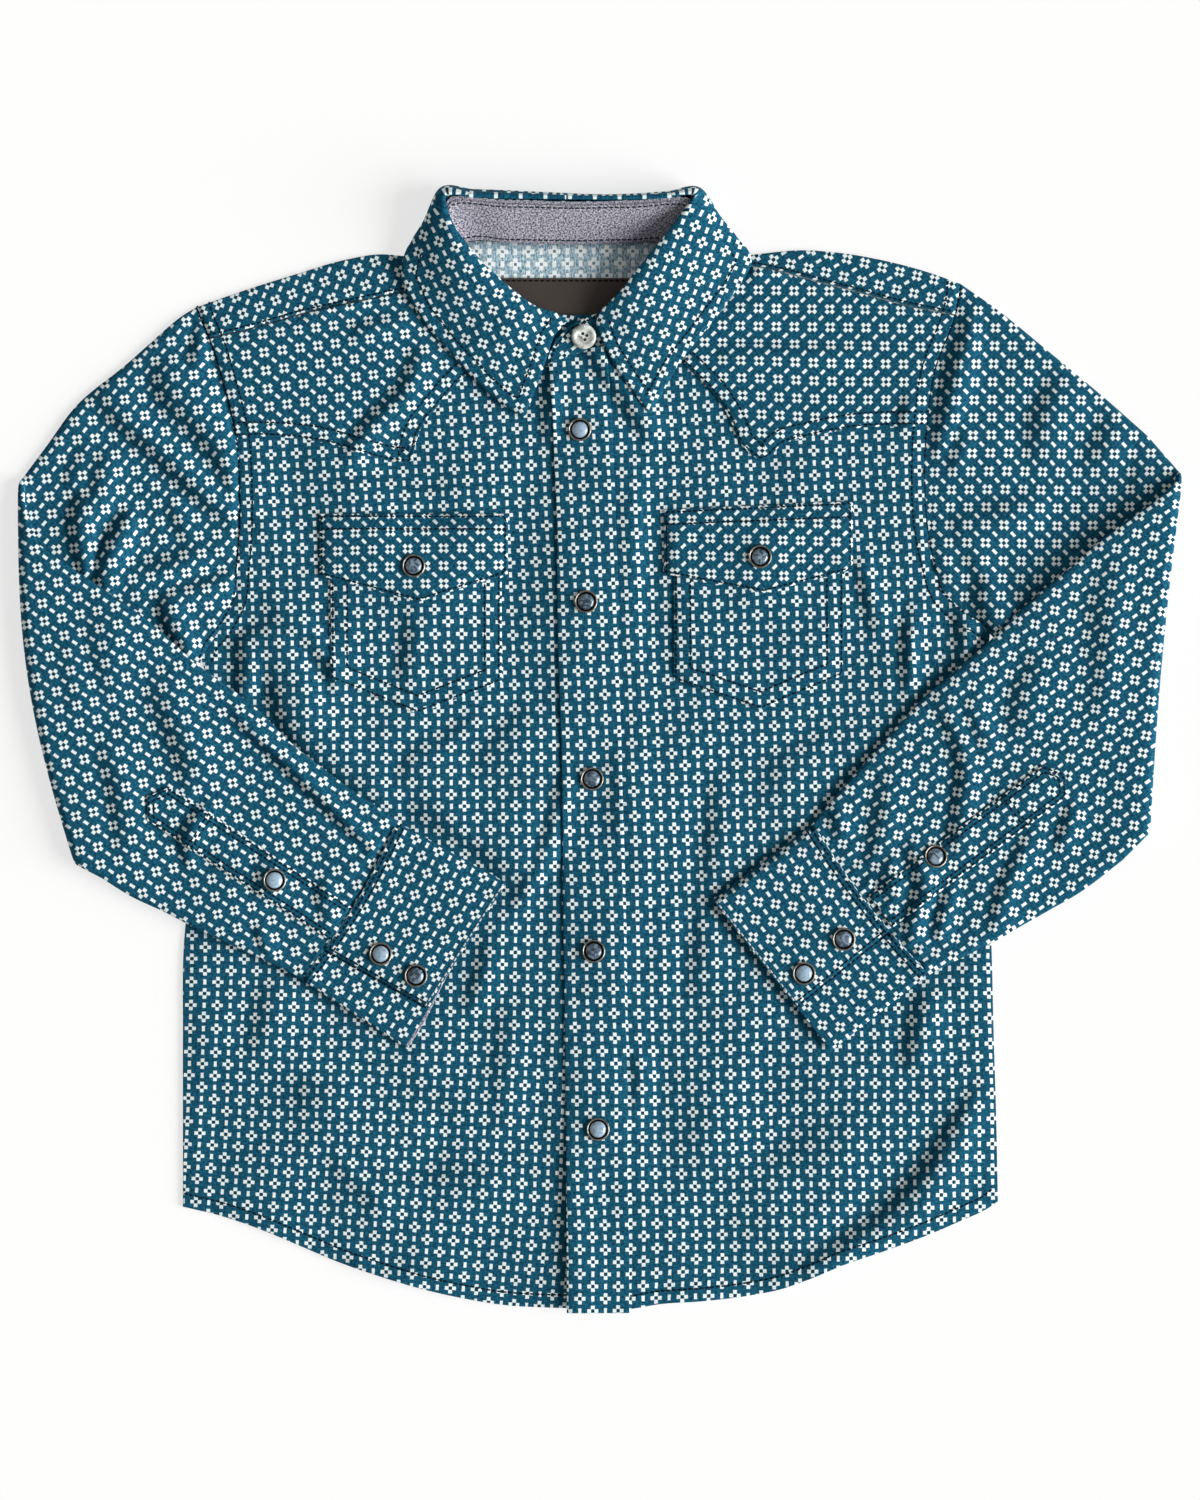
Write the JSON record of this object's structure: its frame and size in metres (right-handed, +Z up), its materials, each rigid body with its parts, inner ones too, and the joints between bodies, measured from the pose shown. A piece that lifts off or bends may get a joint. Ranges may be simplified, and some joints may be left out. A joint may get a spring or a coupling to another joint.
{
  "type": "western snap shirt",
  "caption": "Child's long-sleeved western shirt with pointed yokes, flap pockets and pearl snaps, laid flat with its sleeves folded across the front.",
  "frame": {"origin": "centre of the bounding box at the height of the surface that the shirt lies on", "axes": "+Z up, away from that surface; +Y towards the collar; +X towards the wearer's left"},
  "size_m": [0.5344, 0.5181, 0.0185],
  "materials": {
    "printed_cotton": "matt poplin, printed",
    "chambray": "matt melange weave",
    "label_weave": "smooth damask weave",
    "snap_metal": "antique nickel",
    "snap_pearl": "blue-grey pearl",
    "button_pearl": "off-white pearl"
  },
  "bodies": {
    "root": {"back": "printed_cotton", "back_yoke": "printed_cotton", "front_right": "printed_cotton", "front_left": "printed_cotton", "front_yoke_right": "printed_cotton", "front_yoke_left": "printed_cotton", "placket": "printed_cotton", "collar_leaf": "printed_cotton", "collar_stand": "printed_cotton", "pocket_right": "printed_cotton", "pocket_left": "printed_cotton", "flap_right": "printed_cotton", "flap_left": "printed_cotton", "sleeve_right": "printed_cotton", "sleeve_left": "printed_cotton", "sleeve_placket_right": "printed_cotton", "sleeve_placket_left": "printed_cotton", "cuff_right": "printed_cotton", "cuff_left": "printed_cotton", "stand_lining": "chambray", "neck_label": "label_weave", "snap_ring_front_1": "snap_metal", "snap_ring_front_2": "snap_metal", "snap_ring_front_3": "snap_metal", "snap_ring_front_4": "snap_metal", "snap_ring_front_5": "snap_metal", "snap_ring_flap_right": "snap_metal", "snap_ring_flap_left": "snap_metal", "snap_ring_cuff_right_1": "snap_metal", "snap_ring_cuff_right_2": "snap_metal", "snap_ring_cuff_left_1": "snap_metal", "snap_ring_cuff_left_2": "snap_metal", "snap_ring_sleeve_right": "snap_metal", "snap_ring_sleeve_left": "snap_metal", "snap_pearl_front_1": "snap_pearl", "snap_pearl_front_2": "snap_pearl", "snap_pearl_front_3": "snap_pearl", "snap_pearl_front_4": "snap_pearl", "snap_pearl_front_5": "snap_pearl", "snap_pearl_flap_right": "snap_pearl", "snap_pearl_flap_left": "snap_pearl", "snap_pearl_cuff_right_1": "snap_pearl", "snap_pearl_cuff_right_2": "snap_pearl", "snap_pearl_cuff_left_1": "snap_pearl", "snap_pearl_cuff_left_2": "snap_pearl", "snap_pearl_sleeve_right": "snap_pearl", "snap_pearl_sleeve_left": "snap_pearl", "collar_button": "button_pearl"}
  },
  "joints": []
}
